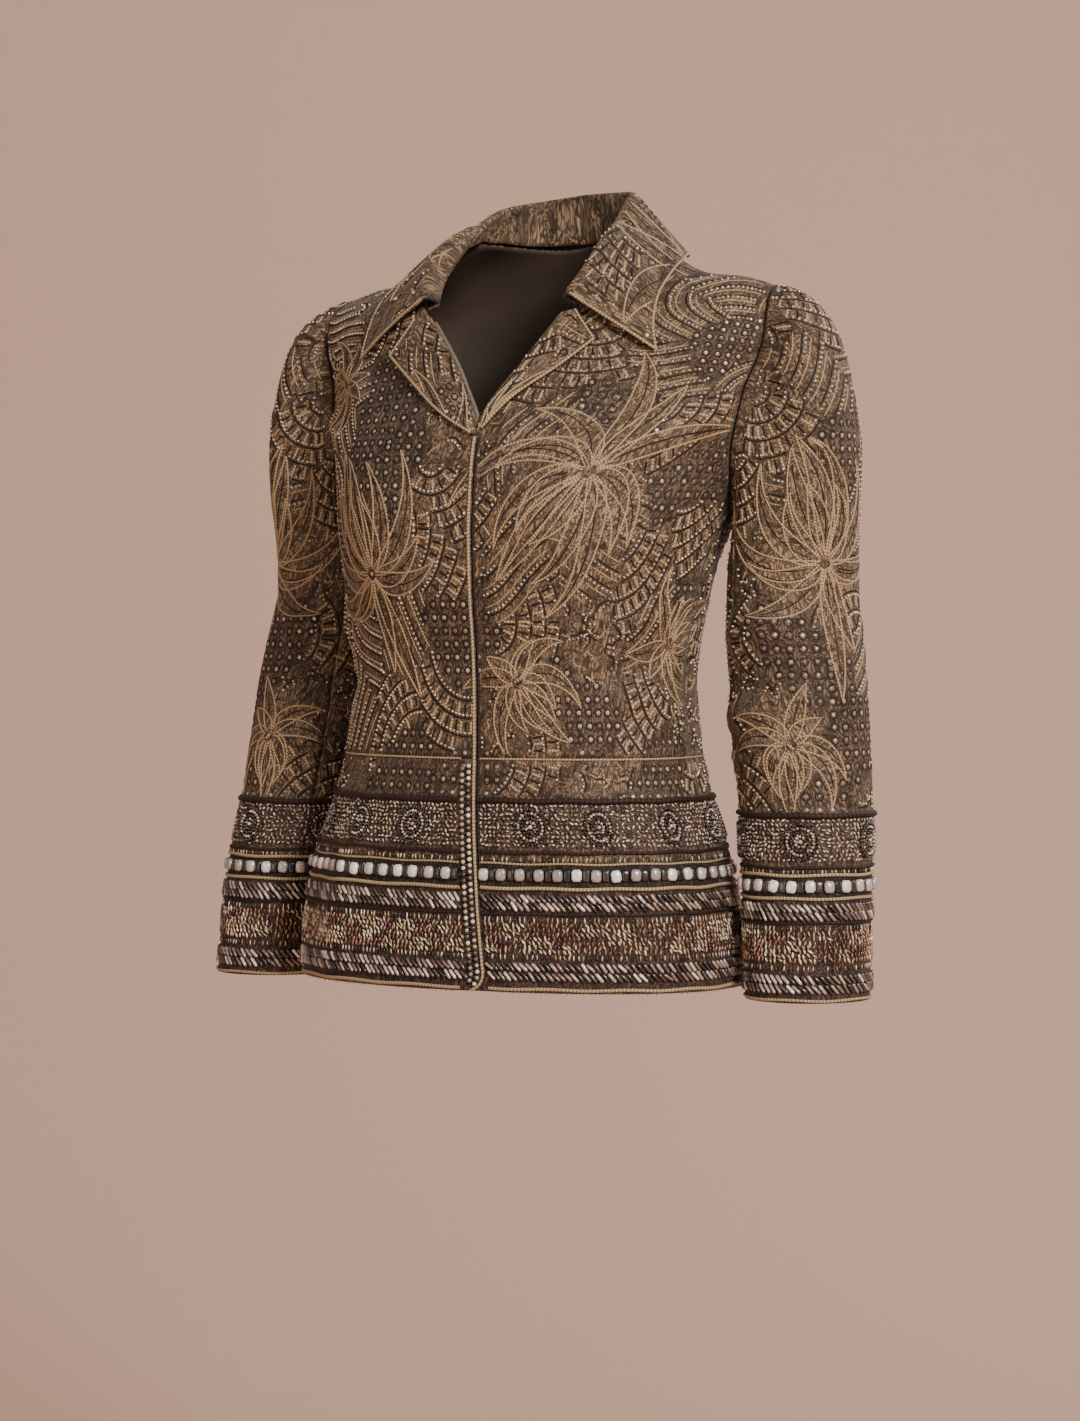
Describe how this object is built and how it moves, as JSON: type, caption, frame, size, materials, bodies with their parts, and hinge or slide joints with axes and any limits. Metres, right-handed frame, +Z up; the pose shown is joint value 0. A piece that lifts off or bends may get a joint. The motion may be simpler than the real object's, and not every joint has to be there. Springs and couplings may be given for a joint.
{
  "type": "fitted beaded blazer",
  "caption": "Fitted woman's blazer in its worn form, with notched collar, peplum, bracelet-length sleeves and beaded borders round hem and cuffs.",
  "frame": {"origin": "middle of the line between the two neck-side shoulder points, where the wearer's shoulders hold the jacket", "axes": "+Z up, -Y out of the jacket's front, +X to the wearer's left"},
  "size_m": [0.5242, 0.2325, 0.5751],
  "materials": {
    "bodice_cloth": "taupe-brown ground covered with beige and dark couched embroidery",
    "sleeve_cloth": "same embroidered cloth as the bodice, with a beaded border at the cuff",
    "peplum_cloth": "embroidered cloth under a dense border of brown, rust and metallic beads",
    "collar_cloth": "embroidered cloth with pale piped edges",
    "square_beads": "row of flat square pearly and dark beads",
    "edge_beads": "two rows of small dark metallic beads"
  },
  "bodies": {
    "root": {"front_right": "bodice_cloth", "front_left": "bodice_cloth", "back": "bodice_cloth", "peplum_right": "peplum_cloth", "peplum_left": "peplum_cloth", "peplum_back": "peplum_cloth", "bead_row_right": "square_beads", "bead_row_left": "square_beads", "bead_row_back": "square_beads", "front_bead_strip": "edge_beads", "lapel_right": "collar_cloth", "lapel_left": "collar_cloth", "collar": "collar_cloth", "sleeve_top_left": "sleeve_cloth", "sleeve_under_left": "sleeve_cloth", "cuff_beads_left": "square_beads", "sleeve_top_right": "sleeve_cloth", "sleeve_under_right": "sleeve_cloth", "cuff_beads_right": "square_beads"}
  },
  "joints": []
}
